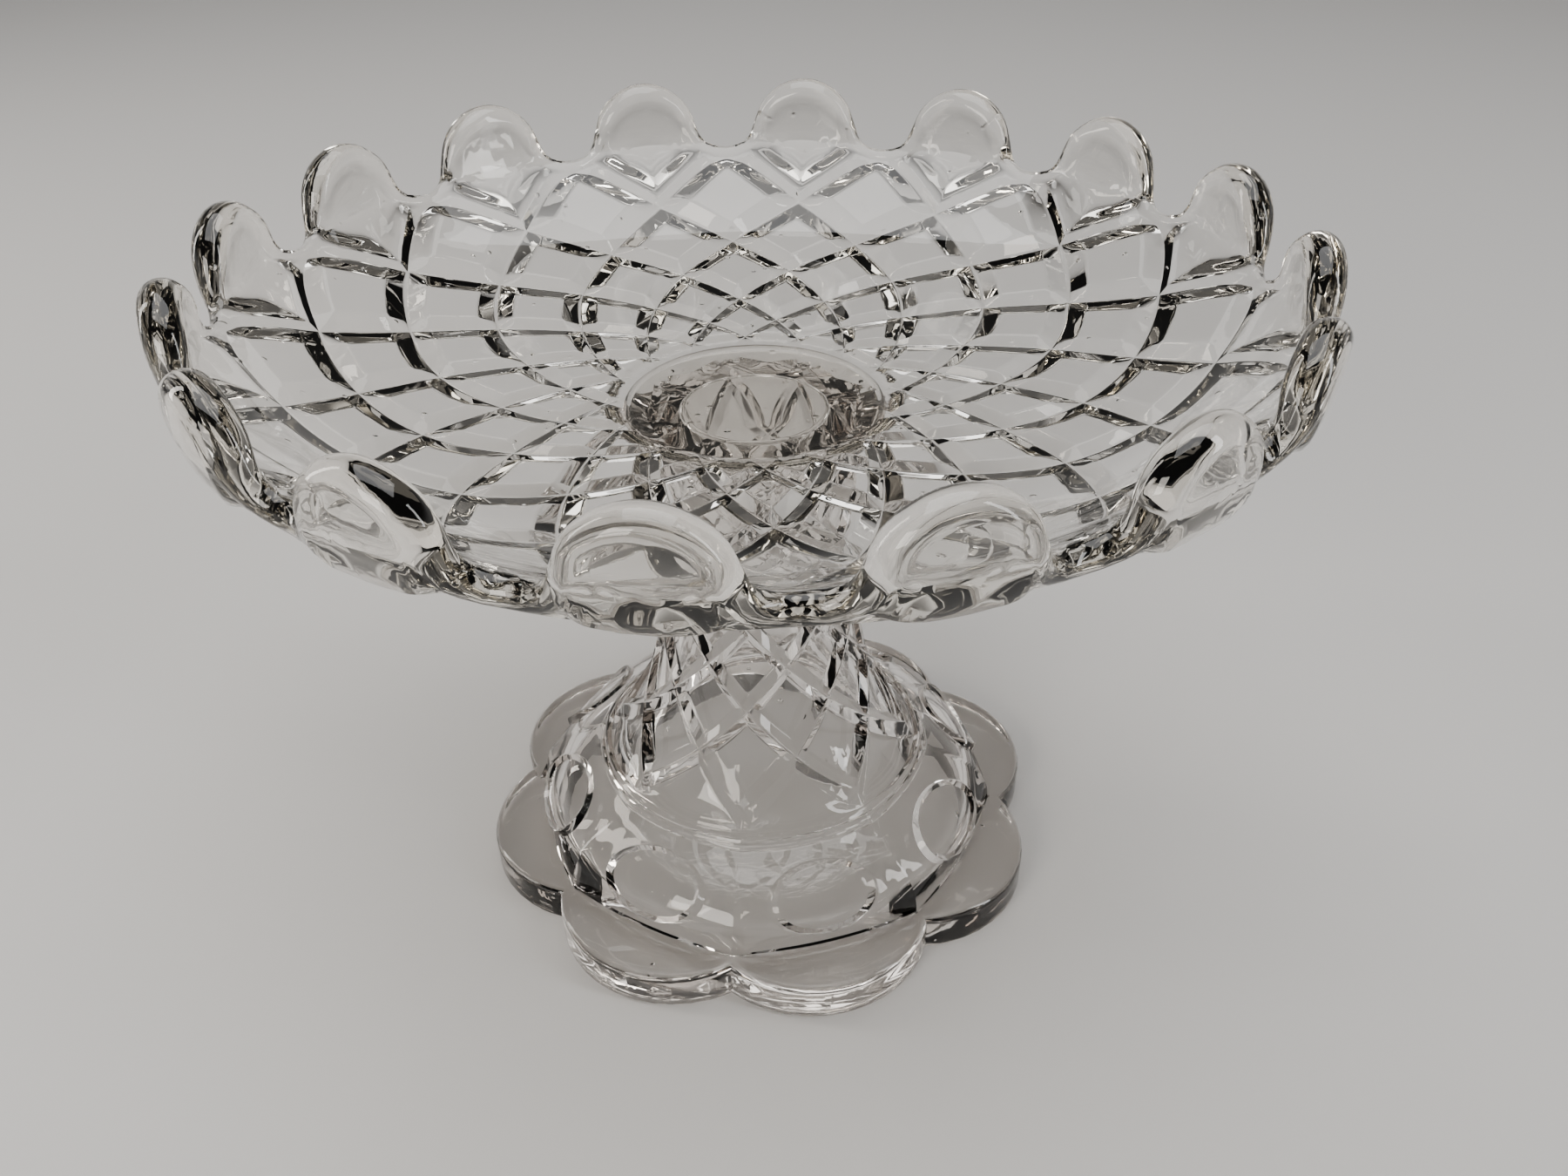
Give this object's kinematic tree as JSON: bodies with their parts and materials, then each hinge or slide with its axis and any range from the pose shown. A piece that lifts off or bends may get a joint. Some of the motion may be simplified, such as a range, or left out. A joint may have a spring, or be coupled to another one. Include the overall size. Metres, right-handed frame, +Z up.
{
  "type": "footed serving stand",
  "caption": "Footed serving stand in clear pressed glass: a shallow scalloped bowl with a diamond rib lattice underneath, on a hollow lattice stem and a petalled foot.",
  "frame": {"origin": "centre of the face that the foot rests on, under the axis of the stem", "axes": "+Z up along the axis of the stem and the bowl; +X through the middle of one scallop of the rim and one valley between petals of the foot"},
  "size_m": [0.213, 0.213, 0.1475],
  "materials": {
    "bowl_glass": "fire-polished pressed glass, clear with a faint straw tint and a few small seeds",
    "disc_glass": "clear glass, smooth, faint straw tint",
    "foot_glass": "fire-polished pressed glass, clear with a faint straw-pink tint and a few small seeds"
  },
  "bodies": {
    "root": {"bowl": "bowl_glass", "joining_disc": "disc_glass", "foot": "foot_glass"}
  },
  "joints": []
}
